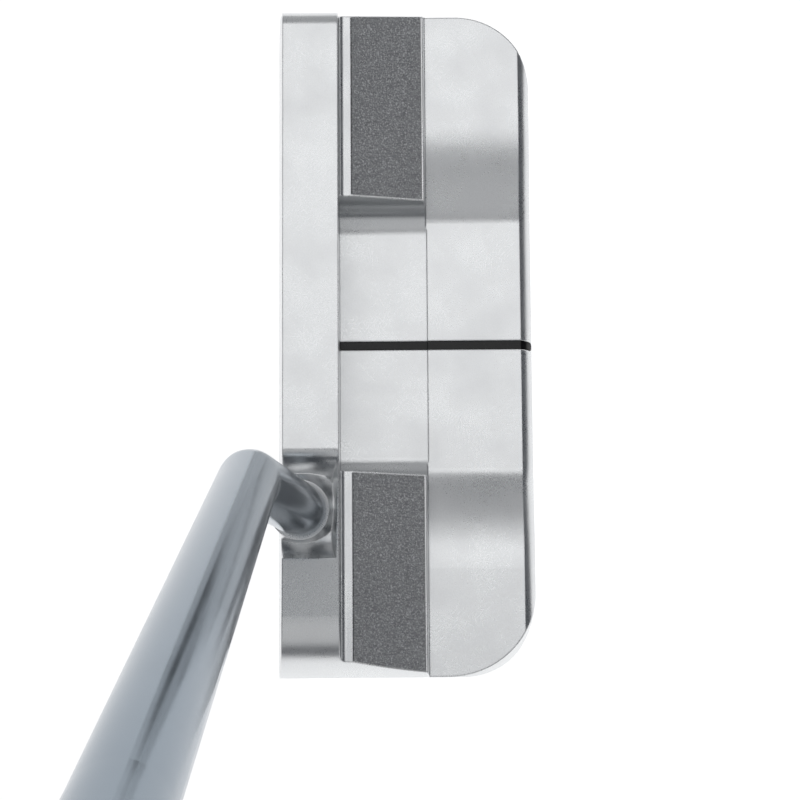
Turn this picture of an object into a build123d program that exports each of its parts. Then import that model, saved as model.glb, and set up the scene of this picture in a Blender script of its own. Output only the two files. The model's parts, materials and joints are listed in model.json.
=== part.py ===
"""Blade putter with a single-bend shaft.

The frame: +X points to the heel, -Y is the way the face looks, +Z is up.
The origin is the middle of the flat sole, straight below the sight line.
All sizes are in millimetres and degrees.
"""
import os
from math import atan, cos, radians, sin, tan

from build123d import *

# ---- head, overall -------------------------------------------------------
head_half_length = 61.6
topline_height = 25.0
topline_front_y = -21.75
topline_width = 9.85
face_loft = 3.0
rear_y = 22.8
toe_corner_radius = 13.5
heel_corner_radius = 15.5
front_corner_radius = 0.8

# ---- head, as seen from the front ----------------------------------------
sole_flat_half = 25.0
widest_height = 10.5
lower_end_radius = 9.8
toe_shoulder_height = 21.6
toe_side_lean = 17.5
toe_top_inset = 6.4
heel_roll_radius = 10.4
heel_slope = 9.0

# ---- head, as seen from the side -----------------------------------------
leading_edge_radius = 3.2
sole_rear_y = 15.0
rear_wall_height = 3.2

# ---- cavity, bumpers and flange ------------------------------------------
bumper_front_height = 16.0
bumper_rear_height = 12.8
bumper_strip_y = -9.6
bumper_rear_y = 3.5
bumper_inner_x = 25.5
foot_fillet = 1.2
pad_height = 6.9
pad_rear_y = 3.95
pad_wall_radius = 4.6
flange_height = 7.05
hump_height = 10.2
hump_start_x = 23.0
hump_end_x = 42.0
hump_top_share = 0.47
hump_foot_share = 0.13
flange_rear_y = 20.8
bevel_depth = 2.4
bevel_crown = 0.3
edge_break = 0.3

# ---- inlays in the bumper tops -------------------------------------------
inlay_thickness = 1.2
inlay_lip = 0.38
inlay_end_lip = 0.22
inlay_gap = 0.03
inlay_chamfer = 0.12

# ---- sight line ----------------------------------------------------------
sight_width = 1.7
sight_paint_drop = 0.1
sight_end_y = 22.2
sight_end_drop = 1.4

# ---- neck and shaft ------------------------------------------------------
shaft_radius = 4.7
shaft_wall = 0.6
neck_x = 34.0
neck_y = -18.9
neck_height = 22.0
neck_lean = 10.8
neck_forward = 3.0
lower_length = 101.0
lie = 71.0
bend_radius = 60.0
club_length = 863.6
parallel_length = 300.0
butt_radius = 7.4
scoop_height = 19.6
scoop_toe_x = 24.2
scoop_heel_x = 43.3
scoop_end_radius = 5.0
scoop_wall_lean = 14.0
collar_radius = 5.3
collar_foot_radius = 3.3
collar_depth = 7.5
flare_radius = 2.2
spud_length = 20.0
glue_gap = 0.12
shaft_end_chamfer = 0.15

# ---- sole plate and its screws -------------------------------------------
plate_length = 56.0
plate_width = 25.0
plate_thickness = 2.6
relief_depth = 1.4
relief_rim = 9.0
face_relief_depth = 13.0
face_relief_width = 3.6
face_thickness = 4.2
plate_corner_radius = 6.0
plate_centre_y = -6.9
plate_gap = 0.05
screw_x = 24.0
screw_dy = 7.5
screw_radius = 1.5
screw_head_radius = 2.8
screw_length = 5.8
screw_drive_radius = 0.95
screw_drive_depth = 1.2
screw_fit = 0.05
screw_recess = 0.2

# ---- sole weights --------------------------------------------------------
weight_x = 42.0
weight_y = 0.0
weight_radius = 6.4
weight_bottom = 1.3
weight_height = 5.6
weight_fit = 0.06
spigot_radius = 4.0
spigot_height = 0.9
washer_thickness = 0.6
washer_fit = 0.06
weight_head_room = 0.25
spanner_radius = 1.1
spanner_depth = 2.0
spanner_offset = 3.7

# ---- grip ----------------------------------------------------------------
grip_length = 267.0
tape_thickness = 0.3
tape_margin = 3.0
cap_thickness = 3.0
cap_plug_length = 6.0
cap_plug_gap = 0.1
vent_radius = 1.5
# distance from the butt, width, front depth and back depth of each section
grip_sections = (
    (0.0, 27.0, 10.5, 18.0),
    (35.0, 27.6, 10.8, 19.5),
    (110.0, 26.0, 10.2, 14.5),
    (190.0, 24.0, 9.6, 12.2),
    (267.0, 20.5, 8.9, 10.0),
)
grip_flat_share = 0.52
grip_shoulder_share = 0.3

os.makedirs("parts", exist_ok=True)

# ---- places worked out from the sizes above --------------------------------
topline_rear_y = topline_front_y + topline_width
leading_y = topline_front_y - topline_height * tan(radians(face_loft))
tall = topline_height + 15
half_span = head_half_length + 10
bumper_slope = atan((bumper_front_height - bumper_rear_height) / (bumper_rear_y - bumper_strip_y))
heel_roll_x = head_half_length - heel_roll_radius
roll_start_x = heel_roll_x + heel_roll_radius * sin(radians(heel_slope))
roll_start_z = widest_height + heel_roll_radius * cos(radians(heel_slope))
heel_rise = (roll_start_x - scoop_heel_x) * tan(radians(heel_slope))

neck_point = Vector(neck_x, neck_y, neck_height)
neck_axis = Vector(tan(radians(neck_lean)), -tan(radians(neck_forward)), 1).normalized()
neck_plane = Plane(origin=neck_point, x_dir=(0, 1, 0), z_dir=neck_axis)
bend_point = neck_point + neck_axis * lower_length
main_axis = Vector(cos(radians(lie)), 0, sin(radians(lie)))
bend_angle = neck_axis.get_angle(main_axis)
bend_tangent = bend_radius * tan(radians(bend_angle / 2))
ground_to_bend = bend_point.Z / sin(radians(lie))
main_length = club_length - ground_to_bend - cap_thickness
butt_point = bend_point + main_axis * main_length
# x of this plane is the back of the grip, y is its width
back_of_grip = Vector(sin(radians(lie)), 0, -cos(radians(lie)))
butt_plane = Plane(origin=butt_point, x_dir=back_of_grip, z_dir=main_axis)
taper_length = main_length - bend_tangent - parallel_length
bore_radius = shaft_radius - shaft_wall
spud_radius = bore_radius - glue_gap
neck_section = Plane(
    origin=neck_point, x_dir=neck_plane.x_dir, z_dir=neck_plane.x_dir.cross(neck_axis)
)
main_plane = Plane(origin=bend_point + main_axis * bend_tangent, x_dir=(0, 1, 0), z_dir=main_axis)
bend_plane = Plane(
    origin=neck_point + neck_axis * (lower_length - bend_tangent),
    x_dir=neck_plane.x_dir,
    z_dir=neck_axis,
)
bend_side = (main_axis - neck_axis * main_axis.dot(neck_axis)).normalized()
bend_axis = Axis(bend_plane.origin + bend_side * bend_radius, neck_axis.cross(main_axis))
bumper_plane = Plane(
    origin=(0, bumper_strip_y, bumper_front_height),
    x_dir=(1, 0, 0),
    z_dir=(0, sin(bumper_slope), cos(bumper_slope)),
)
screw_places = [
    (x, plate_centre_y + y) for x in (-screw_x, screw_x) for y in (-screw_dy, screw_dy)
]


def heel_reach(height):
    """How far the heel's end lies from the middle, at a height above its widest place."""
    rise = height - widest_height
    return head_half_length - heel_roll_radius + (heel_roll_radius**2 - rise**2) ** 0.5


def toe_reach(height):
    """How far the toe's end lies from the middle, at a height above its widest place."""
    return head_half_length - (height - widest_height) * tan(radians(toe_side_lean))


def shaft_radius_at(from_butt):
    """Outer radius of the shaft at a distance down from its butt."""
    share = min(from_butt / taper_length, 1)
    return butt_radius - (butt_radius - shaft_radius) * share


def along(plane, distance):
    """The plane moved along its own normal."""
    return Plane(origin=plane.origin + plane.z_dir * distance, x_dir=plane.x_dir, z_dir=plane.z_dir)


# ---- shapes that two or more pieces share ----------------------------------
with BuildPart() as blank:
    with BuildSketch(Plane.XZ.offset(-rear_y - 10)):
        with BuildLine():
            end_x = head_half_length - lower_end_radius
            heel_low = CenterArc((end_x, widest_height), lower_end_radius, 270, 90)
            heel_roll = CenterArc((heel_roll_x, widest_height), heel_roll_radius, 0, 90 - heel_slope)
            toe_low = CenterArc((-end_x, widest_height), lower_end_radius, 180, 90)
            toe_side = Line(
                (-head_half_length, widest_height), (-toe_reach(toe_shoulder_height), toe_shoulder_height)
            )
            toe_top = ThreePointArc(
                toe_side @ 1,
                (-head_half_length + 0.66 * toe_top_inset, topline_height - 0.95),
                (-head_half_length + toe_top_inset, topline_height),
            )
            Polyline(toe_low @ 1, (-sole_flat_half, 0), (sole_flat_half, 0), heel_low @ 0)
            Polyline(
                heel_roll @ 1,
                (scoop_heel_x, roll_start_z + heel_rise),
                (scoop_toe_x, topline_height),
                toe_top @ 1,
            )
        make_face()
    extrude(amount=rear_y - leading_y + 20)
    with BuildSketch(Plane.YZ):
        with BuildLine():
            sole_front = ThreePointArc(
                (leading_y + 0.05, leading_edge_radius),
                (leading_y + 0.3 * leading_edge_radius, 0.28 * leading_edge_radius),
                (leading_y + leading_edge_radius, 0),
            )
            sole_rear = ThreePointArc(
                (sole_rear_y, 0),
                (rear_y - 3.4, 0.29 * rear_wall_height),
                (rear_y, rear_wall_height),
            )
            Line(sole_front @ 1, sole_rear @ 0)
            Polyline(
                sole_rear @ 1,
                (rear_y, tall),
                (topline_front_y + (tall - topline_height) * tan(radians(face_loft)), tall),
                sole_front @ 0,
            )
        make_face()
    extrude(amount=half_span, both=True, mode=Mode.INTERSECT)
    with BuildSketch(Plane.XY.offset(-1)):
        with Locations((0, (rear_y + leading_y) / 2)):
            Rectangle(2 * head_half_length, rear_y - leading_y)
        fillet(vertices().group_by(Axis.Y)[0], radius=front_corner_radius)
        fillet(vertices().group_by(Axis.Y)[-1].sort_by(Axis.X)[0], radius=toe_corner_radius)
        fillet(vertices().group_by(Axis.Y)[-1].sort_by(Axis.X)[-1], radius=heel_corner_radius)
    extrude(amount=tall + 2, mode=Mode.INTERSECT)

with BuildPart() as pad_pocket:
    with BuildSketch(Plane.XZ.offset(-pad_rear_y)):
        with BuildLine():
            foot_x = bumper_inner_x - pad_wall_radius
            wall_z = pad_height + pad_wall_radius
            toe_foot = CenterArc((-foot_x, wall_z), pad_wall_radius, 180, 90)
            heel_foot = CenterArc((foot_x, wall_z), pad_wall_radius, 270, 90)
            Line(toe_foot @ 1, heel_foot @ 0)
            Polyline(heel_foot @ 1, (bumper_inner_x, tall), (-bumper_inner_x, tall), toe_foot @ 0)
        make_face()
    extrude(amount=pad_rear_y - topline_rear_y)

with BuildPart() as scoop:
    with BuildSketch(Plane.XZ.offset(-topline_rear_y)):
        with BuildLine():
            toe_ramp = Bezier(
                (scoop_toe_x - 0.6, topline_height),
                (scoop_toe_x + 2.4, topline_height),
                (scoop_toe_x + 2.2, scoop_height),
                (scoop_toe_x + scoop_end_radius + 0.6, scoop_height),
            )
            heel_ramp = CenterArc(
                (scoop_heel_x - scoop_end_radius, scoop_height + scoop_end_radius), scoop_end_radius, 270, 90
            )
            Line(toe_ramp @ 1, heel_ramp @ 0)
            Polyline(heel_ramp @ 1, (scoop_heel_x, tall), (scoop_toe_x - 0.6, tall), toe_ramp @ 0)
        make_face()
    extrude(amount=30)
    with BuildSketch(Plane.YZ):
        with BuildLine():
            wall_drop = topline_height - scoop_height + 5
            Polyline(
                (topline_rear_y, topline_height),
                (topline_rear_y - wall_drop * tan(radians(scoop_wall_lean)), topline_height - wall_drop),
                (topline_rear_y + 5, topline_height - wall_drop),
                (topline_rear_y + 5, topline_height),
                close=True,
            )
        make_face()
    extrude(amount=half_span, both=True, mode=Mode.SUBTRACT)

with BuildPart() as sight_groove:
    with BuildSketch(Plane.XZ.offset(-topline_rear_y)):
        with Locations((0, flange_height)):
            Circle(sight_width / 2)
    extrude(amount=topline_rear_y - flange_rear_y)
    bevel_run = Vector(0, sight_end_y - flange_rear_y, -sight_end_drop)
    with BuildSketch(Plane(origin=(0, flange_rear_y, flange_height), x_dir=(1, 0, 0), z_dir=bevel_run)):
        Circle(sight_width / 2)
    extrude(amount=bevel_run.length)
    with Locations((0, flange_rear_y, flange_height), (0, sight_end_y, flange_height + bevel_run.Z)):
        Sphere(sight_width / 2)


def flange_wave():
    """The flange's top line from toe to heel: low in the middle, a smooth hump at each end."""
    top_ease = hump_top_share * (hump_end_x - hump_start_x)
    foot_ease = hump_foot_share * (hump_end_x - hump_start_x)
    toe_flat = Line((-half_span, hump_height), (-hump_end_x, hump_height))
    toe_fall = Bezier(
        toe_flat @ 1, (-hump_end_x + top_ease, hump_height),
        (-hump_start_x - foot_ease, flange_height), (-hump_start_x, flange_height),
    )
    middle = Line(toe_fall @ 1, (hump_start_x, flange_height))
    heel_rise_line = Bezier(
        middle @ 1, (hump_start_x + foot_ease, flange_height),
        (hump_end_x - top_ease, hump_height), (hump_end_x, hump_height),
    )
    heel_flat = Line(heel_rise_line @ 1, (half_span, hump_height))
    return toe_flat, heel_flat


def inlay_outline(gap):
    """Outline of one heel bumper inlay, on the bumper plane, inside its lip by a gap."""
    length = (bumper_rear_y - bumper_strip_y) / cos(bumper_slope)
    front_end = heel_reach(bumper_front_height) - inlay_end_lip - gap
    rear_end = heel_reach(bumper_rear_height) - inlay_end_lip - gap
    middle_height = (bumper_front_height + bumper_rear_height) / 2
    middle_end = heel_reach(middle_height) - inlay_end_lip - gap
    inner = bumper_inner_x + inlay_lip + gap
    end_curve = ThreePointArc(
        (front_end, gap), (middle_end, length / 2), (rear_end, length - inlay_lip - gap)
    )
    Polyline(end_curve @ 1, (inner, length - inlay_lip - gap), (inner, gap), end_curve @ 0)


def toe_inlay_outline(gap):
    """Outline of the toe bumper inlay, on the same plane."""
    length = (bumper_rear_y - bumper_strip_y) / cos(bumper_slope)
    front_end = -toe_reach(bumper_front_height) + inlay_end_lip + gap
    rear_end = -toe_reach(bumper_rear_height) + inlay_end_lip + gap
    inner = -bumper_inner_x - inlay_lip - gap
    Polyline(
        (front_end, gap), (inner, gap), (inner, length - inlay_lip - gap),
        (rear_end, length - inlay_lip - gap), close=True,
    )


# ---- head body ---------------------------------------------------------------
with BuildPart() as head_core:
    add(blank.part)
    with BuildSketch(Plane.YZ):
        with BuildLine():
            strip_foot = ThreePointArc(
                (topline_rear_y, bumper_front_height + foot_fillet),
                (topline_rear_y + 0.3 * foot_fillet, bumper_front_height + 0.3 * foot_fillet),
                (topline_rear_y + foot_fillet, bumper_front_height),
            )
            Polyline(
                strip_foot @ 1,
                (bumper_strip_y, bumper_front_height),
                (bumper_rear_y, bumper_rear_height),
                (bumper_rear_y + edge_break, hump_height),
                (rear_y + 10, hump_height),
                (rear_y + 10, tall),
                (topline_rear_y, tall),
                strip_foot @ 0,
            )
        make_face()
    extrude(amount=half_span, both=True, mode=Mode.SUBTRACT)
    with BuildSketch(Plane.XZ.offset(-rear_y - 10)):
        with BuildLine():
            toe_flat, heel_flat = flange_wave()
            Polyline(heel_flat @ 1, (half_span, tall), (-half_span, tall), toe_flat @ 0)
        make_face()
    extrude(amount=rear_y + 10 - bumper_rear_y - edge_break, mode=Mode.SUBTRACT)
    add(pad_pocket.part, mode=Mode.SUBTRACT)
    with BuildLine(Plane.XZ.offset(-flange_rear_y)) as bevel_path:
        flange_wave()
    with BuildSketch(Plane.YZ.offset(-half_span)):
        with BuildLine():
            crown = SagittaArc(
                (flange_rear_y, hump_height), (rear_y + 0.1, hump_height - bevel_depth), bevel_crown
            )
            Polyline(
                crown @ 1,
                (rear_y + 4, hump_height - bevel_depth),
                (rear_y + 4, hump_height + 4),
                (flange_rear_y, hump_height + 4),
                crown @ 0,
            )
        make_face()
    sweep(path=bevel_path.line, mode=Mode.SUBTRACT)

with BuildPart() as neck_flare:
    with BuildSketch(neck_section):
        with BuildLine():
            foot_drop = scoop_height - neck_height
            flare = ThreePointArc(
                (collar_radius, 0),
                (collar_radius + 0.35 * flare_radius, 0.62 * foot_drop),
                (collar_radius + flare_radius, foot_drop - 0.3),
            )
            Polyline(
                flare @ 1,
                (collar_radius + flare_radius, foot_drop - 3),
                (0, foot_drop - 3),
                (0, 0),
                flare @ 0,
            )
        make_face()
    revolve(axis=Axis(neck_point, neck_axis))
    add(head_core.part, mode=Mode.INTERSECT)

with BuildPart() as head_body:
    add(head_core.part)
    add(scoop.part, mode=Mode.SUBTRACT)
    add(neck_flare.part)
    with BuildSketch(neck_plane):
        Circle(collar_radius)
    with BuildSketch(along(neck_plane, -collar_depth)):
        Circle(collar_foot_radius)
    loft()
    with BuildSketch(neck_plane):
        Circle(spud_radius)
    extrude(amount=spud_length)
    add(sight_groove.part, mode=Mode.SUBTRACT)
    with BuildSketch(bumper_plane):
        with BuildLine():
            inlay_outline(0)
        make_face()
        with BuildLine():
            toe_inlay_outline(0)
        make_face()
    extrude(amount=-inlay_thickness, mode=Mode.SUBTRACT)
    with BuildSketch():
        with Locations((0, plate_centre_y)):
            RectangleRounded(plate_length + 2 * plate_gap, plate_width + 2 * plate_gap, plate_corner_radius)
    extrude(amount=plate_thickness, mode=Mode.SUBTRACT)
    with BuildSketch(Plane.XY.offset(plate_thickness)):
        with Locations((0, plate_centre_y)):
            Rectangle(plate_length - 2 * relief_rim, plate_width - relief_rim)
    extrude(amount=relief_depth, mode=Mode.SUBTRACT)
    with BuildSketch():
        with Locations((0, leading_y + face_thickness + face_relief_width / 2 + edge_break)):
            SlotOverall(plate_length - 2 * relief_rim, face_relief_width)
    extrude(amount=plate_thickness + face_relief_depth, mode=Mode.SUBTRACT)
    with BuildSketch():
        with Locations(*screw_places):
            Circle(screw_radius + screw_fit)
    extrude(amount=screw_length + 0.6, mode=Mode.SUBTRACT)
    with BuildSketch():
        with Locations((-weight_x, weight_y), (weight_x, weight_y)):
            Circle(weight_radius + weight_fit)
    extrude(amount=weight_bottom + weight_height + spigot_height + weight_head_room, mode=Mode.SUBTRACT)
head_body.part.label = "head_body"
export_step(head_body.part, "parts/head_body.step")

# ---- bumper inlays -------------------------------------------------------------
with BuildPart() as heel_bumper_inlay:
    with BuildSketch(bumper_plane):
        with BuildLine():
            inlay_outline(inlay_gap)
        make_face()
    extrude(amount=inlay_gap - inlay_thickness)
    chamfer(faces().sort_by(Axis.Z)[-1].edges(), length=inlay_chamfer)
heel_bumper_inlay.part.label = "heel_bumper_inlay"
export_step(heel_bumper_inlay.part, "parts/heel_bumper_inlay.step")

with BuildPart() as toe_bumper_inlay:
    with BuildSketch(bumper_plane):
        with BuildLine():
            toe_inlay_outline(inlay_gap)
        make_face()
    extrude(amount=inlay_gap - inlay_thickness)
    chamfer(faces().sort_by(Axis.Z)[-1].edges(), length=inlay_chamfer)
toe_bumper_inlay.part.label = "toe_bumper_inlay"
export_step(toe_bumper_inlay.part, "parts/toe_bumper_inlay.step")

# ---- sight line paint ------------------------------------------------------------
lowered_core = Pos(0, 0, -sight_paint_drop) * head_core.part
with BuildPart() as sight_line_paint:
    add(sight_groove.part)
    add(lowered_core, mode=Mode.INTERSECT)
sight_line_paint.part.label = "sight_line_paint"
export_step(sight_line_paint.part, "parts/sight_line_paint.step")

# ---- shaft, in one piece with its bend ---------------------------------------------
with BuildPart() as shaft:
    for wall, mode in ((0, Mode.ADD), (shaft_wall, Mode.SUBTRACT)):
        with BuildSketch(neck_plane):
            Circle(shaft_radius - wall)
        extrude(amount=lower_length - bend_tangent, mode=mode)
        with BuildSketch(bend_plane):
            Circle(shaft_radius - wall)
        revolve(axis=bend_axis, revolution_arc=bend_angle, mode=mode)
        with BuildSketch(main_plane):
            Circle(shaft_radius - wall)
        extrude(amount=parallel_length, mode=mode)
        with BuildSketch(along(main_plane, parallel_length)):
            Circle(shaft_radius - wall)
        with BuildSketch(butt_plane):
            Circle(butt_radius - wall)
        loft(mode=mode)
    chamfer(edges().group_by(Axis.Z)[0].sort_by(SortBy.LENGTH)[-1], length=shaft_end_chamfer)
shaft.part.label = "shaft"
export_step(shaft.part, "parts/shaft.step")

with BuildPart() as shaft_epoxy:
    with BuildSketch(along(neck_plane, 1)):
        Circle(bore_radius)
        Circle(spud_radius, mode=Mode.SUBTRACT)
    extrude(amount=spud_length - 2)
shaft_epoxy.part.label = "shaft_epoxy"
export_step(shaft_epoxy.part, "parts/shaft_epoxy.step")

# ---- grip, its tape and its cap ---------------------------------------------------
with BuildPart() as grip_tape:
    for wall, mode in ((tape_thickness, Mode.ADD), (0, Mode.SUBTRACT)):
        with BuildSketch(along(butt_plane, -tape_margin)):
            Circle(shaft_radius_at(tape_margin) + wall)
        with BuildSketch(along(butt_plane, tape_margin - grip_length)):
            Circle(shaft_radius_at(grip_length - tape_margin) + wall)
        loft(mode=mode)
grip_tape.part.label = "grip_tape"
export_step(grip_tape.part, "parts/grip_tape.step")


def grip_outline(width, front, back):
    """One cross section of the grip: flat in front, rounded corners, full at the back."""
    half_flat = grip_flat_share * width / 2
    shoulder_x = -grip_shoulder_share * front
    corner_x = front + shoulder_x
    corner_y = width / 2 - half_flat
    right_corner = EllipticalCenterArc((shoulder_x, -half_flat), corner_x, corner_y, 180, arc_size=90)
    Line(right_corner @ 0, (-front, half_flat))
    EllipticalCenterArc((shoulder_x, half_flat), corner_x, corner_y, 90, arc_size=90)
    EllipticalCenterArc((shoulder_x, 0), back - shoulder_x, width / 2, -90, arc_size=180)


with BuildPart() as grip:
    for distance, width, front, back in grip_sections:
        with BuildSketch(along(butt_plane, -distance)):
            with BuildLine():
                grip_outline(width, front, back)
            make_face()
    loft()
    with BuildSketch(butt_plane):
        Circle(butt_radius + tape_thickness)
    with BuildSketch(along(butt_plane, -grip_length)):
        Circle(shaft_radius_at(grip_length) + tape_thickness)
    loft(mode=Mode.SUBTRACT)
grip.part.label = "grip"
export_step(grip.part, "parts/grip.step")

with BuildPart() as grip_end_cap:
    with BuildSketch(butt_plane):
        with BuildLine():
            grip_outline(*grip_sections[0][1:])
        make_face()
    extrude(amount=cap_thickness)
    with BuildSketch(butt_plane):
        Circle(butt_radius - shaft_wall - cap_plug_gap)
    extrude(amount=-cap_plug_length)
    with BuildSketch(along(butt_plane, -cap_plug_length)):
        Circle(vent_radius)
    extrude(amount=cap_plug_length + cap_thickness, mode=Mode.SUBTRACT)
grip_end_cap.part.label = "grip_end_cap"
export_step(grip_end_cap.part, "parts/grip_end_cap.step")

# ---- sole plate and its screws -------------------------------------------------------
with BuildPart() as sole_plate:
    with BuildSketch():
        with Locations((0, plate_centre_y)):
            RectangleRounded(plate_length, plate_width, plate_corner_radius)
    extrude(amount=plate_thickness)
    with Locations(*[Location((x, y, 0), (180, 0, 0)) for x, y in screw_places]):
        CounterSinkHole(
            radius=screw_radius + screw_fit, counter_sink_radius=screw_head_radius + screw_fit,
            depth=plate_thickness, counter_sink_angle=90,
        )
sole_plate.part.label = "sole_plate"
export_step(sole_plate.part, "parts/sole_plate.step")

for number, (screw_at_x, screw_at_y) in enumerate(screw_places, start=1):
    with BuildPart() as sole_screw:
        with BuildSketch(Plane.XZ.offset(-screw_at_y)):
            with BuildLine():
                Polyline(
                    (screw_at_x, screw_recess),
                    (screw_at_x + screw_head_radius - screw_recess, screw_recess),
                    (screw_at_x + screw_radius, screw_head_radius - screw_radius),
                    (screw_at_x + screw_radius, screw_length),
                    (screw_at_x, screw_length),
                    close=True,
                )
            make_face()
        revolve(axis=Axis((screw_at_x, screw_at_y, 0), (0, 0, 1)))
        with BuildSketch(Plane.XY.offset(screw_recess)):
            with Locations((screw_at_x, screw_at_y)):
                RegularPolygon(radius=screw_drive_radius, side_count=6)
        extrude(amount=screw_drive_depth, mode=Mode.SUBTRACT)
    sole_screw.part.label = f"sole_screw_{number}"
    export_step(sole_screw.part, f"parts/sole_screw_{number}.step")

# ---- sole weights and their washers ----------------------------------------------------
for side, centre_x in (("toe", -weight_x), ("heel", weight_x)):
    with BuildPart() as weight:
        with BuildSketch(Plane.XY.offset(weight_bottom)):
            with Locations((centre_x, weight_y)):
                Circle(weight_radius)
        extrude(amount=weight_height)
        chamfer(edges().group_by(Axis.Z)[0], length=0.3)
        with BuildSketch(Plane.XY.offset(weight_bottom + weight_height)):
            with Locations((centre_x, weight_y)):
                Circle(spigot_radius)
        extrude(amount=spigot_height)
        with BuildSketch(Plane.XY.offset(weight_bottom)):
            with Locations((centre_x - spanner_offset, weight_y), (centre_x + spanner_offset, weight_y)):
                Circle(spanner_radius)
        extrude(amount=spanner_depth, mode=Mode.SUBTRACT)
    weight.part.label = f"{side}_weight"
    export_step(weight.part, f"parts/{side}_weight.step")

    with BuildPart() as washer:
        with BuildSketch(Plane.XY.offset(weight_bottom + weight_height + washer_fit)):
            with Locations((centre_x, weight_y)):
                Circle(weight_radius - washer_fit)
                Circle(spigot_radius + washer_fit, mode=Mode.SUBTRACT)
        extrude(amount=washer_thickness)
    washer.part.label = f"{side}_weight_washer"
    export_step(washer.part, f"parts/{side}_weight_washer.step")
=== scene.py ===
"""Finishes for the blade putter, with its floor, studio light and camera."""

import json
import math

import bmesh
import bpy
from mathutils import Matrix, Vector

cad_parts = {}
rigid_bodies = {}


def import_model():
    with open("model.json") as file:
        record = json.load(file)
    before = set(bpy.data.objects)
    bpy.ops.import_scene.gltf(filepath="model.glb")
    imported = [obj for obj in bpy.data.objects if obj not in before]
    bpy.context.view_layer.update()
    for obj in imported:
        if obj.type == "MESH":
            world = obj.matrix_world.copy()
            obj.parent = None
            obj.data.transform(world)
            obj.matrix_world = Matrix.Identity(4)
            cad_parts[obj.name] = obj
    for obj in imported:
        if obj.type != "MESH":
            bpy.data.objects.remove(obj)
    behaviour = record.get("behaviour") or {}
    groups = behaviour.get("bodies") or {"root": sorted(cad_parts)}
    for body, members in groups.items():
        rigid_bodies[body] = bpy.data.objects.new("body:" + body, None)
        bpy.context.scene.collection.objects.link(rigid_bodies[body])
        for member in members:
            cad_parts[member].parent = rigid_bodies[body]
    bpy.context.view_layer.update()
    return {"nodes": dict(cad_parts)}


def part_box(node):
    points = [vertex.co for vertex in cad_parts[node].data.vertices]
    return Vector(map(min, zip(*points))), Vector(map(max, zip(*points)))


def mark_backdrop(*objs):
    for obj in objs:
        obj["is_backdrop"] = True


bl_info = {
    "name": "Blade Putter",
    "version": (1, 0, 0),
    "blender": (4, 5, 0),
    "location": "3D View > Sidebar > Putter",
    "description": "Gives the pieces of a blade putter their finishes and sets up the studio",
    "category": "Object",
}

for leftover in list(bpy.data.objects):
    bpy.data.objects.remove(leftover)

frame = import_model()
NODES = frame["nodes"]

MM = 0.001
SHAFT_LEAN = math.radians(-19.0)

FLOOR_SIDE = 6.0
FLOOR_HEIGHT = -0.4 * MM
FLOOR_COLOUR = (0.93, 0.93, 0.93)
FLOOR_GLOW = 0.72

# place, the point it faces, width, length
OVERHEAD = ((-0.66, 0.0, 1.8), (-0.66, 0.0, 0.0), 0.94, 2.6)
HEEL_SIDE = ((1.15, 0.0, 1.7), (0.0, 0.0, 0.0), 1.7, 2.4)
TOE_SIDE = ((-2.1, 0.0, 1.0), (0.0, 0.0, 0.0), 1.3, 1.9)

SENSOR_WIDTH = 36.0
NEAREST = 0.05
FARTHEST = 50.0
WEIGHT_RING = 1.2 * MM
SOLE_SCREWS = 4


# ---------------------------------------------------------------- node helpers


def new_material(name, metallic, roughness, colour):
    """A material with one Principled shader, and that shader's node tree."""
    material = bpy.data.materials.new(name)
    material.use_nodes = True
    tree = material.node_tree
    shader = tree.nodes["Principled BSDF"]
    shader.inputs["Metallic"].default_value = metallic
    shader.inputs["Roughness"].default_value = roughness
    shader.inputs["Base Color"].default_value = (*colour, 1.0)
    return material, tree, shader


def coordinates(tree, stretch=(1.0, 1.0, 1.0), turn=(0.0, 0.0, 0.0)):
    """The piece's own coordinates in metres, stretched and turned."""
    place = tree.nodes.new("ShaderNodeTexCoord")
    mapping = tree.nodes.new("ShaderNodeMapping")
    mapping.inputs["Scale"].default_value = stretch
    mapping.inputs["Rotation"].default_value = turn
    tree.links.new(place.outputs["Object"], mapping.inputs["Vector"])
    return mapping.outputs["Vector"]


def noise(tree, vector, size, detail=2.0, rough=0.5):
    """A grey cloud pattern whose lumps are about that size in metres."""
    node = tree.nodes.new("ShaderNodeTexNoise")
    node.inputs["Scale"].default_value = 1.0 / size
    node.inputs["Detail"].default_value = detail
    node.inputs["Roughness"].default_value = rough
    tree.links.new(vector, node.inputs["Vector"])
    return node.outputs["Fac"]


def spread(tree, value, low, high, from_low=0.3, from_high=0.7):
    """value, spread from a pattern's usual range to low and high."""
    node = tree.nodes.new("ShaderNodeMapRange")
    node.inputs["From Min"].default_value = from_low
    node.inputs["From Max"].default_value = from_high
    node.inputs["To Min"].default_value = low
    node.inputs["To Max"].default_value = high
    tree.links.new(value, node.inputs["Value"])
    return node.outputs["Result"]


def blend_colours(tree, factor, first, second):
    """first where factor is 0, second where it is 1. Each is a colour or a socket."""
    node = tree.nodes.new("ShaderNodeMix")
    node.data_type = "RGBA"
    tree.links.new(factor, node.inputs["Factor"])
    for socket, colour in ((node.inputs[6], first), (node.inputs[7], second)):
        if isinstance(colour, bpy.types.NodeSocket):
            tree.links.new(colour, socket)
        else:
            socket.default_value = (*colour, 1.0)
    return node.outputs[2]


def total(tree, first, second, share=1.0):
    """first plus a share of second."""
    node = tree.nodes.new("ShaderNodeMath")
    node.operation = "MULTIPLY_ADD"
    tree.links.new(second, node.inputs[0])
    node.inputs[1].default_value = share
    tree.links.new(first, node.inputs[2])
    return node.outputs["Value"]


def soft_edges(tree, radius):
    """The surface's direction with its edges rounded by that radius in metres."""
    node = tree.nodes.new("ShaderNodeBevel")
    node.samples = 6
    node.inputs["Radius"].default_value = radius
    return node.outputs["Normal"]


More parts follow.
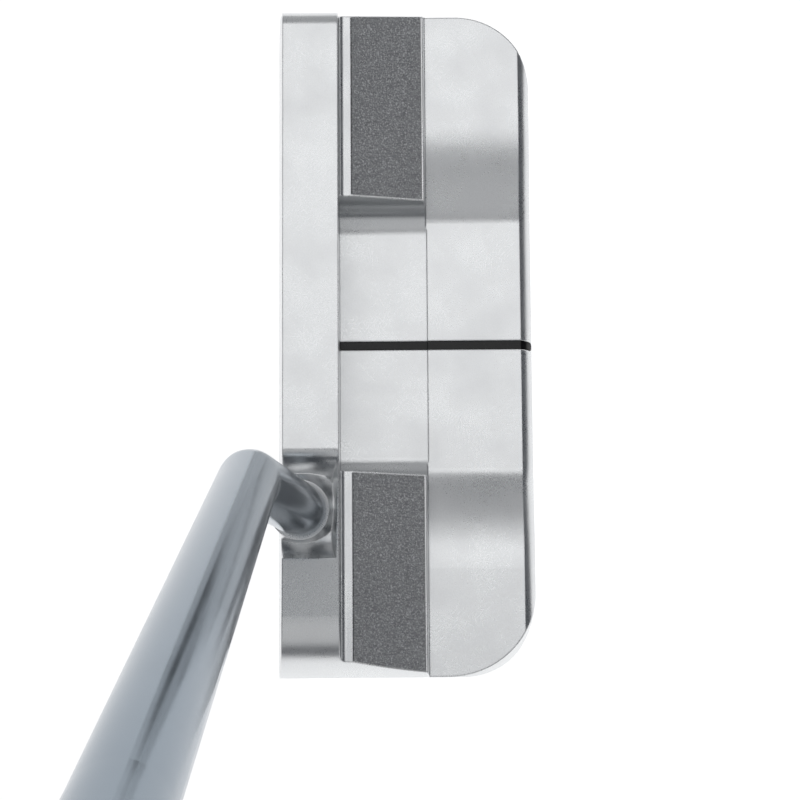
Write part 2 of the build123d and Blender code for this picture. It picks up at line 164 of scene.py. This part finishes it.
# Edge mask: callers lighten edges with it, as real wear on coated parts and as a painted highlight
# on bare steel.
def edge_wear_and_highlight(tree, radius):
    """1 on the edges and 0 elsewhere."""
    rounded = soft_edges(tree, radius)
    plain = tree.nodes.new("ShaderNodeNewGeometry")
    dot = tree.nodes.new("ShaderNodeVectorMath")
    dot.operation = "DOT_PRODUCT"
    tree.links.new(rounded, dot.inputs[0])
    tree.links.new(plain.outputs["Normal"], dot.inputs[1])
    return spread(tree, dot.outputs["Value"], 1.0, 0.0, 0.86, 0.995)


def raise_grain(tree, shader, height, depth, normal=None):
    """Bump of that depth in metres on the shader, over an optional rounded direction."""
    node = tree.nodes.new("ShaderNodeBump")
    node.inputs["Strength"].default_value = 1.0
    node.inputs["Distance"].default_value = depth
    tree.links.new(height, node.inputs["Height"])
    if normal is not None:
        tree.links.new(normal, node.inputs["Normal"])
    tree.links.new(node.outputs["Normal"], shader.inputs["Normal"])


def give(material, *nodes):
    """Puts the material in every slot of these pieces."""
    for name in nodes:
        piece = NODES[name]
        for slot in range(len(piece.data.materials)):
            piece.data.materials[slot] = material
        if not piece.data.materials:
            piece.data.materials.append(material)


# ------------------------------------------------------------- user's settings


class HeadFinish(bpy.types.PropertyGroup):
    """Finish of the milled head."""

    steel: bpy.props.FloatVectorProperty(
        name="Steel",
        description="Colour of the satin steel",
        subtype="COLOR",
        default=(0.77, 0.78, 0.785),
        min=0.0,
        max=1.0,
    )
    roughness: bpy.props.FloatProperty(
        name="Satin",
        description="How dull the blasted surface is",
        default=0.29,
        min=0.0,
        max=1.0,
    )
    grain: bpy.props.FloatProperty(
        name="Grain",
        description="Size of the blasted grain",
        default=0.22 * MM,
        unit="LENGTH",
    )
    edge_radius: bpy.props.FloatProperty(
        name="Edge break",
        description="Rounding that shows on the machined edges",
        default=0.35 * MM,
        unit="LENGTH",
    )


class TrimFinish(bpy.types.PropertyGroup):
    """Finish of the inlays, the sight line and the sole's parts."""

    inlay: bpy.props.FloatVectorProperty(
        name="Inlay",
        description="Colour of the dark inlays on the bumpers",
        subtype="COLOR",
        default=(0.33, 0.335, 0.345),
        min=0.0,
        max=1.0,
    )
    speck: bpy.props.FloatProperty(
        name="Speck",
        description="Size of the bright specks in the inlays",
        default=0.3 * MM,
        unit="LENGTH",
    )
    enamel: bpy.props.FloatVectorProperty(
        name="Sight line",
        description="Colour of the enamel in the sight line",
        subtype="COLOR",
        default=(0.004, 0.004, 0.0045),
        min=0.0,
        max=1.0,
    )
    sole: bpy.props.FloatVectorProperty(
        name="Sole plate",
        description="Colour of the anodised sole plate",
        subtype="COLOR",
        default=(0.06, 0.062, 0.066),
        min=0.0,
        max=1.0,
    )


class ShaftFinish(bpy.types.PropertyGroup):
    """Finish of the shaft and of what bonds it."""

    chrome: bpy.props.FloatVectorProperty(
        name="Chrome",
        description="Colour of the plated tube",
        subtype="COLOR",
        default=(0.54, 0.58, 0.615),
        min=0.0,
        max=1.0,
    )
    edge_tint: bpy.props.FloatVectorProperty(
        name="Edge tint",
        description="Colour of the plated tube seen along its surface",
        subtype="COLOR",
        default=(0.42, 0.46, 0.5),
        min=0.0,
        max=1.0,
    )
    roughness: bpy.props.FloatProperty(
        name="Polish",
        description="How dull the plating is",
        default=0.11,
        min=0.0,
        max=1.0,
    )


class GripFinish(bpy.types.PropertyGroup):
    """Finish of the grip."""

    rubber: bpy.props.FloatVectorProperty(
        name="Rubber",
        description="Colour of the rubber",
        subtype="COLOR",
        default=(0.022, 0.022, 0.024),
        min=0.0,
        max=1.0,
    )
    pattern: bpy.props.FloatProperty(
        name="Pattern",
        description="Spacing of the moulded pattern",
        default=4.5 * MM,
        unit="LENGTH",
    )


class Studio(bpy.types.PropertyGroup):
    """Floor, light and camera."""

    distance: bpy.props.FloatProperty(
        name="Distance",
        description="From the camera to the point it looks at",
        default=0.75,
        unit="LENGTH",
    )
    lean: bpy.props.FloatProperty(
        name="Lean",
        description="Turn of the camera from straight above towards the heel",
        default=math.radians(14.965),
        subtype="ANGLE",
    )
    roll: bpy.props.FloatProperty(
        name="Roll",
        description="Turn of the camera about its own line of sight",
        default=math.radians(0.4),
        subtype="ANGLE",
    )
    aim: bpy.props.FloatVectorProperty(
        name="Aim",
        description="The point that the camera looks at",
        default=(15.0 * MM, -1.1 * MM, 25.0 * MM),
        subtype="TRANSLATION",
    )
    lens: bpy.props.FloatProperty(
        name="Lens",
        description="Focal length on a 36 mm sensor, in millimetres",
        default=192.04,
    )
    sky: bpy.props.FloatVectorProperty(
        name="Room",
        description="Colour of the room's walls",
        subtype="COLOR",
        default=(0.07, 0.075, 0.085),
        min=0.0,
        max=1.0,
    )
    overhead: bpy.props.FloatProperty(
        name="Overhead",
        description="Brightness of the large light above",
        default=1.12,
    )
    heel_side: bpy.props.FloatProperty(
        name="Heel side",
        description="Brightness of the light on the heel's side",
        default=0.5,
    )
    toe_side: bpy.props.FloatProperty(
        name="Toe side",
        description="Brightness of the light on the toe's side",
        default=0.35,
    )


# ------------------------------------------------------------------- operators


class PUTTER_OT_head(bpy.types.Operator):
    """Satin, bead-blasted steel on the milled head"""

    bl_idname = "putter.head"
    bl_label = "Head"

    def execute(self, context):
        wish = context.scene.putter_head
        material, tree, shader = new_material("satin_steel", 1.0, wish.roughness, wish.steel)
        place = coordinates(tree)
        grain = noise(tree, place, wish.grain, 3.0, 0.6)
        cloud = noise(tree, place, 9.0 * MM, 3.0)
        tone = blend_colours(
            tree,
            spread(tree, grain, 0.0, 1.0),
            tuple(0.94 * c for c in wish.steel),
            tuple(min(1.0, 1.04 * c) for c in wish.steel),
        )
        # Edges painted near white: a painted highlight for the light that the rounded edges catch.
        edge_highlight = edge_wear_and_highlight(tree, wish.edge_radius)
        tree.links.new(
            blend_colours(tree, edge_highlight, tone, (0.93, 0.93, 0.93)), shader.inputs["Base Color"]
        )
        base = spread(tree, cloud, wish.roughness - 0.03, wish.roughness + 0.03)
        tree.links.new(
            total(tree, base, spread(tree, grain, -0.03, 0.05)), shader.inputs["Roughness"]
        )
        raise_grain(tree, shader, grain, 0.01 * MM, soft_edges(tree, wish.edge_radius))
        give(material, "head_body")
        return {"FINISHED"}


class PUTTER_OT_inlays(bpy.types.Operator):
    """Dark, gritty inlays on the toe and heel bumpers"""

    bl_idname = "putter.inlays"
    bl_label = "Bumper inlays"

    def execute(self, context):
        wish = context.scene.putter_trim
        material, tree, shader = new_material("dark_inlay", 0.75, 0.5, wish.inlay)
        place = coordinates(tree)
        specks = noise(tree, place, wish.speck, 2.0, 0.7)
        streaks = noise(tree, coordinates(tree, (1.0, 0.08, 1.0)), 0.3 * MM, 2.0)
        tone = blend_colours(
            tree,
            spread(tree, streaks, 0.0, 1.0),
            tuple(0.82 * c for c in wish.inlay),
            tuple(1.16 * c for c in wish.inlay),
        )
        glint = spread(tree, specks, 0.0, 0.85, 0.5, 0.68)
        tree.links.new(
            blend_colours(tree, glint, tone, (0.7, 0.71, 0.72)), shader.inputs["Base Color"]
        )
        tree.links.new(spread(tree, specks, 0.58, 0.4), shader.inputs["Roughness"])
        raise_grain(tree, shader, specks, 0.07 * MM)
        give(material, "toe_bumper_inlay", "heel_bumper_inlay")
        return {"FINISHED"}


class PUTTER_OT_sight_line(bpy.types.Operator):
    """Glossy black enamel in the sight line"""

    bl_idname = "putter.sight_line"
    bl_label = "Sight line"

    def execute(self, context):
        wish = context.scene.putter_trim
        material, tree, shader = new_material("sight_paint", 0.0, 0.16, wish.enamel)
        shader.inputs["Specular IOR Level"].default_value = 0.3
        place = coordinates(tree)
        ripple = noise(tree, coordinates(tree, (1.0, 0.25, 1.0)), 0.9 * MM, 2.0)
        tree.links.new(
            blend_colours(
                tree,
                spread(tree, noise(tree, place, 0.5 * MM), 0.0, 1.0),
                wish.enamel,
                tuple(2.2 * c for c in wish.enamel),
            ),
            shader.inputs["Base Color"],
        )
        tree.links.new(spread(tree, ripple, 0.12, 0.22), shader.inputs["Roughness"])
        raise_grain(tree, shader, ripple, 0.03 * MM, soft_edges(tree, 0.25 * MM))
        give(material, "sight_line_paint")
        return {"FINISHED"}


class PUTTER_OT_shaft(bpy.types.Operator):
    """Plated tube, and the resin that bonds it to the post"""

    bl_idname = "putter.shaft"
    bl_label = "Shaft"

    def execute(self, context):
        wish = context.scene.putter_shaft
        material, tree, shader = new_material("chrome_tube", 1.0, wish.roughness, wish.chrome)
        shader.inputs["Specular Tint"].default_value = (*wish.edge_tint, 1.0)
        place = coordinates(tree)
        along = coordinates(tree, (1.0, 1.0, 0.04), (0.0, SHAFT_LEAN, 0.0))
        polish = noise(tree, along, 0.8 * MM, 2.0)
        haze = noise(tree, place, 14.0 * MM, 3.0)
        tree.links.new(
            blend_colours(
                tree,
                spread(tree, haze, 0.0, 1.0),
                tuple(0.96 * c for c in wish.chrome),
                tuple(1.03 * c for c in wish.chrome),
            ),
            shader.inputs["Base Color"],
        )
        base = spread(tree, haze, wish.roughness - 0.012, wish.roughness + 0.015)
        tree.links.new(
            total(tree, base, spread(tree, polish, -0.008, 0.01)), shader.inputs["Roughness"]
        )
        raise_grain(tree, shader, polish, 0.0004 * MM, soft_edges(tree, 0.2 * MM))
        give(material, "shaft")

        resin, tree, shader = new_material("cured_resin", 0.0, 0.35, (0.5, 0.46, 0.34))
        lumps = noise(tree, coordinates(tree), 0.7 * MM, 3.0)
        tree.links.new(
            blend_colours(
                tree, spread(tree, lumps, 0.0, 1.0), (0.46, 0.41, 0.29), (0.6, 0.55, 0.42)
            ),
            shader.inputs["Base Color"],
        )
        tree.links.new(spread(tree, lumps, 0.28, 0.45), shader.inputs["Roughness"])
        raise_grain(tree, shader, lumps, 0.05 * MM)
        give(resin, "shaft_epoxy")
        return {"FINISHED"}


class PUTTER_OT_sole(bpy.types.Operator):
    """Anodised sole plate and its four screws"""

    bl_idname = "putter.sole"
    bl_label = "Sole plate and screws"

    def execute(self, context):
        wish = context.scene.putter_trim
        plate, tree, shader = new_material("anodised_alloy", 0.9, 0.42, wish.sole)
        grain = noise(tree, coordinates(tree), 0.18 * MM, 3.0, 0.6)
        brushed = noise(tree, coordinates(tree, (0.05, 1.0, 1.0)), 0.25 * MM, 2.0)
        tone = blend_colours(
            tree,
            spread(tree, grain, 0.0, 1.0),
            tuple(0.85 * c for c in wish.sole),
            tuple(1.2 * c for c in wish.sole),
        )
        tree.links.new(
            blend_colours(tree, edge_wear_and_highlight(tree, 0.25 * MM), tone, (0.32, 0.32, 0.33)),
            shader.inputs["Base Color"],
        )
        tree.links.new(spread(tree, brushed, 0.36, 0.48), shader.inputs["Roughness"])
        raise_grain(tree, shader, brushed, 0.006 * MM, soft_edges(tree, 0.2 * MM))
        give(plate, "sole_plate")

        screw, tree, shader = new_material("screw_steel", 1.0, 0.3, (0.5, 0.5, 0.51))
        turned = noise(tree, coordinates(tree), 0.12 * MM, 2.0)
        tone = blend_colours(
            tree, spread(tree, turned, 0.0, 1.0), (0.44, 0.44, 0.45), (0.56, 0.56, 0.57)
        )
        # Edges painted lighter: a painted highlight along the screw's edges.
        tree.links.new(
            blend_colours(tree, edge_wear_and_highlight(tree, 0.12 * MM), tone, (0.78, 0.78, 0.78)),
            shader.inputs["Base Color"],
        )
        tree.links.new(spread(tree, turned, 0.25, 0.38), shader.inputs["Roughness"])
        raise_grain(tree, shader, turned, 0.004 * MM, soft_edges(tree, 0.1 * MM))
        give(screw, *("sole_screw_%d" % (n + 1) for n in range(SOLE_SCREWS)))
        return {"FINISHED"}


class PUTTER_OT_weights(bpy.types.Operator):
    """Turned sole weights and the washers on their spigots"""

    bl_idname = "putter.weights"
    bl_label = "Sole weights"

    def execute(self, context):
        for side in ("toe", "heel"):
            low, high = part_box(side + "_weight")
            middle = (low + high) / 2
            steel, tree, shader = new_material(side + "_turned_steel", 1.0, 0.28, (0.6, 0.6, 0.61))
            place = tree.nodes.new("ShaderNodeTexCoord")
            centred = tree.nodes.new("ShaderNodeMapping")
            centred.inputs["Location"].default_value = (-middle.x, -middle.y, 0.0)
            tree.links.new(place.outputs["Object"], centred.inputs["Vector"])
            rings = tree.nodes.new("ShaderNodeTexWave")
            rings.wave_type = "RINGS"
            rings.rings_direction = "Z"
            rings.inputs["Scale"].default_value = 1.0 / WEIGHT_RING
            rings.inputs["Distortion"].default_value = 0.4
            tree.links.new(centred.outputs["Vector"], rings.inputs["Vector"])
            grain = noise(tree, place.outputs["Object"], 0.15 * MM, 2.0)
            bands = rings.outputs["Fac"]
            tone = blend_colours(tree, bands, (0.52, 0.52, 0.53), (0.66, 0.66, 0.67))
            # Edges painted lighter: a painted highlight along the weight's edges.
            tree.links.new(
                blend_colours(tree, edge_wear_and_highlight(tree, 0.2 * MM), tone, (0.85, 0.85, 0.85)),
                shader.inputs["Base Color"],
            )
            tree.links.new(spread(tree, grain, 0.24, 0.36), shader.inputs["Roughness"])
            raise_grain(tree, shader, bands, 0.006 * MM, soft_edges(tree, 0.15 * MM))
            give(steel, side + "_weight")

        nylon, tree, shader = new_material("washer_nylon", 0.0, 0.5, (0.74, 0.72, 0.66))
        shader.inputs["Subsurface Weight"].default_value = 0.1
        grain = noise(tree, coordinates(tree), 0.3 * MM, 2.0)
        tree.links.new(
            blend_colours(
                tree, spread(tree, grain, 0.0, 1.0), (0.7, 0.68, 0.62), (0.78, 0.76, 0.71)
            ),
            shader.inputs["Base Color"],
        )
        tree.links.new(spread(tree, grain, 0.44, 0.56), shader.inputs["Roughness"])
        raise_grain(tree, shader, grain, 0.01 * MM)
        give(nylon, "toe_weight_washer", "heel_weight_washer")
        return {"FINISHED"}


class PUTTER_OT_grip(bpy.types.Operator):
    """Moulded rubber grip with its cap, and the tape under it"""

    bl_idname = "putter.grip"
    bl_label = "Grip"

    def execute(self, context):
        wish = context.scene.putter_grip
        rubber, tree, shader = new_material("grip_rubber", 0.0, 0.62, wish.rubber)
        dots = tree.nodes.new("ShaderNodeTexVoronoi")
        dots.feature = "F1"
        dots.inputs["Scale"].default_value = 1.0 / wish.pattern
        dots.inputs["Randomness"].default_value = 0.0
        along = coordinates(tree, (1.0, 1.0, 1.0), (0.0, SHAFT_LEAN, 0.0))
        tree.links.new(along, dots.inputs["Vector"])
        studs = spread(tree, dots.outputs["Distance"], 1.0, 0.0, 0.2, 0.42)
        skin = noise(tree, coordinates(tree), 0.35 * MM, 3.0, 0.6)
        scuff = noise(tree, coordinates(tree), 24.0 * MM, 4.0)
        tone = blend_colours(
            tree,
            spread(tree, scuff, 0.0, 1.0),
            tuple(0.75 * c for c in wish.rubber),
            tuple(1.6 * c for c in wish.rubber),
        )
        tree.links.new(
            blend_colours(tree, edge_wear_and_highlight(tree, 0.6 * MM), tone, (0.06, 0.06, 0.062)),
            shader.inputs["Base Color"],
        )
        tree.links.new(
            total(tree, spread(tree, skin, 0.55, 0.72), studs, -0.1), shader.inputs["Roughness"]
        )
        relief = total(tree, studs, skin, 0.25)
        raise_grain(tree, shader, relief, 0.25 * MM, soft_edges(tree, 0.5 * MM))
        give(rubber, "grip")

        cap, tree, shader = new_material("cap_rubber", 0.0, 0.55, (0.025, 0.025, 0.027))
        skin = noise(tree, coordinates(tree), 0.4 * MM, 3.0)
        tree.links.new(
            blend_colours(
                tree, spread(tree, skin, 0.0, 1.0), (0.018, 0.018, 0.02), (0.036, 0.036, 0.038)
            ),
            shader.inputs["Base Color"],
        )
        tree.links.new(spread(tree, skin, 0.48, 0.64), shader.inputs["Roughness"])
        raise_grain(tree, shader, skin, 0.03 * MM, soft_edges(tree, 0.4 * MM))
        give(cap, "grip_end_cap")

        tape, tree, shader = new_material("paper_tape", 0.0, 0.8, (0.8, 0.77, 0.68))
        along = coordinates(tree, (1.0, 1.0, 0.3), (0.0, SHAFT_LEAN, 0.0))
        fibre = noise(tree, along, 0.5 * MM, 4.0)
        tree.links.new(
            blend_colours(
                tree, spread(tree, fibre, 0.0, 1.0), (0.72, 0.68, 0.58), (0.84, 0.81, 0.73)
            ),
            shader.inputs["Base Color"],
        )
        tree.links.new(spread(tree, fibre, 0.72, 0.88), shader.inputs["Roughness"])
        raise_grain(tree, shader, fibre, 0.03 * MM)
        give(tape, "grip_tape")
        return {"FINISHED"}


def plain_sheet(name, side, height, colour, glow):
    """A square sheet at that height, glowing a little, that isn't part of the club."""
    mesh = bpy.data.meshes.new(name)
    bm = bmesh.new()
    bmesh.ops.create_grid(bm, x_segments=1, y_segments=1, size=side / 2)
    bmesh.ops.translate(bm, verts=bm.verts, vec=(0.0, 0.0, height))
    bm.to_mesh(mesh)
    bm.free()
    sheet = bpy.data.objects.new(name, mesh)
    bpy.context.scene.collection.objects.link(sheet)
    material, tree, shader = new_material(name + "_paper", 0.0, 0.9, colour)
    shader.inputs["Specular IOR Level"].default_value = 0.1
    shader.inputs["Emission Color"].default_value = (1.0, 1.0, 1.0, 1.0)
    shader.inputs["Emission Strength"].default_value = glow
    grain = noise(tree, coordinates(tree), 2.0 * MM, 2.0)
    tree.links.new(
        blend_colours(
            tree, spread(tree, grain, 0.0, 1.0), tuple(0.99 * c for c in colour), colour
        ),
        shader.inputs["Base Color"],
    )
    mesh.materials.append(material)
    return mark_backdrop(sheet)


def soft_light(name, place, towards, width, length, brightness):
    """A soft box at place, facing towards, whose surface shows that brightness."""
    light = bpy.data.lights.new(name, "AREA")
    light.shape = "RECTANGLE"
    light.size = width
    light.size_y = length
    light.energy = brightness * math.pi * width * length
    lamp = bpy.data.objects.new(name, light)
    bpy.context.scene.collection.objects.link(lamp)
    lamp.location = place
    lamp.rotation_euler = (Vector(towards) - Vector(place)).to_track_quat("-Z", "Y").to_euler()
    return lamp


class PUTTER_OT_stage(bpy.types.Operator):
    """Pale floor, soft studio light and the camera"""

    bl_idname = "putter.stage"
    bl_label = "Studio"

    def execute(self, context):
        wish = context.scene.putter_studio
        scene = context.scene
        plain_sheet("floor", FLOOR_SIDE, FLOOR_HEIGHT, FLOOR_COLOUR, FLOOR_GLOW)

        world = bpy.data.worlds.new("room")
        scene.world = world
        world.use_nodes = True
        backdrop = world.node_tree.nodes["Background"]
        backdrop.inputs["Color"].default_value = (*wish.sky, 1.0)
        backdrop.inputs["Strength"].default_value = 1.0

        soft_light("overhead", *OVERHEAD, wish.overhead)
        soft_light("heel_side", *HEEL_SIDE, wish.heel_side)
        soft_light("toe_side", *TOE_SIDE, wish.toe_side)

        away = Vector((math.sin(wish.lean), 0.0, math.cos(wish.lean)))
        right = Vector((0.0, 1.0, 0.0))
        up = away.cross(right)
        turned_right = math.cos(wish.roll) * right - math.sin(wish.roll) * up
        turned_up = math.cos(wish.roll) * up + math.sin(wish.roll) * right
        camera = bpy.data.cameras.new("camera")
        camera.lens = wish.lens
        camera.sensor_width = SENSOR_WIDTH
        camera.clip_start = NEAREST
        camera.clip_end = FARTHEST
        camera.dof.use_dof = False
        eye = bpy.data.objects.new("camera", camera)
        scene.collection.objects.link(eye)
        turn = Matrix((turned_right, turned_up, away)).transposed().to_4x4()
        eye.matrix_world = Matrix.Translation(Vector(wish.aim) + wish.distance * away) @ turn
        scene.camera = eye
        scene.view_settings.view_transform = "Standard"
        return {"FINISHED"}


class PUTTER_PT_panel(bpy.types.Panel):
    """Lists the pieces of the putter"""

    bl_label = "Blade Putter"
    bl_idname = "PUTTER_PT_panel"
    bl_space_type = "VIEW_3D"
    bl_region_type = "UI"
    bl_category = "Putter"

    def draw(self, context):
        scene = context.scene
        for title, settings, names in (
            ("Head", scene.putter_head, ("putter.head",)),
            (
                "Trim",
                scene.putter_trim,
                ("putter.inlays", "putter.sight_line", "putter.sole", "putter.weights"),
            ),
            ("Shaft", scene.putter_shaft, ("putter.shaft",)),
            ("Grip", scene.putter_grip, ("putter.grip",)),
            ("Studio", scene.putter_studio, ("putter.stage",)),
        ):
            box = self.layout.box()
            box.label(text=title)
            for name in settings.bl_rna.properties.keys():
                if name not in ("rna_type", "name"):
                    box.prop(settings, name)
            for name in names:
                box.operator(name)


CLASSES = (
    HeadFinish,
    TrimFinish,
    ShaftFinish,
    GripFinish,
    Studio,
    PUTTER_OT_head,
    PUTTER_OT_inlays,
    PUTTER_OT_sight_line,
    PUTTER_OT_shaft,
    PUTTER_OT_sole,
    PUTTER_OT_weights,
    PUTTER_OT_grip,
    PUTTER_OT_stage,
    PUTTER_PT_panel,
)

SETTINGS = {
    "putter_head": HeadFinish,
    "putter_trim": TrimFinish,
    "putter_shaft": ShaftFinish,
    "putter_grip": GripFinish,
    "putter_studio": Studio,
}


def register():
    for cls in CLASSES:
        bpy.utils.register_class(cls)
    for name, group in SETTINGS.items():
        setattr(bpy.types.Scene, name, bpy.props.PointerProperty(type=group))


def unregister():
    for name in SETTINGS:
        delattr(bpy.types.Scene, name)
    for cls in reversed(CLASSES):
        bpy.utils.unregister_class(cls)


def main():
    """Registers the add-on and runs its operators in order."""
    register()
    bpy.ops.putter.head()
    bpy.ops.putter.inlays()
    bpy.ops.putter.sight_line()
    bpy.ops.putter.shaft()
    bpy.ops.putter.sole()
    bpy.ops.putter.weights()
    bpy.ops.putter.grip()
    bpy.ops.putter.stage()


if __name__ == "__main__":
    main()
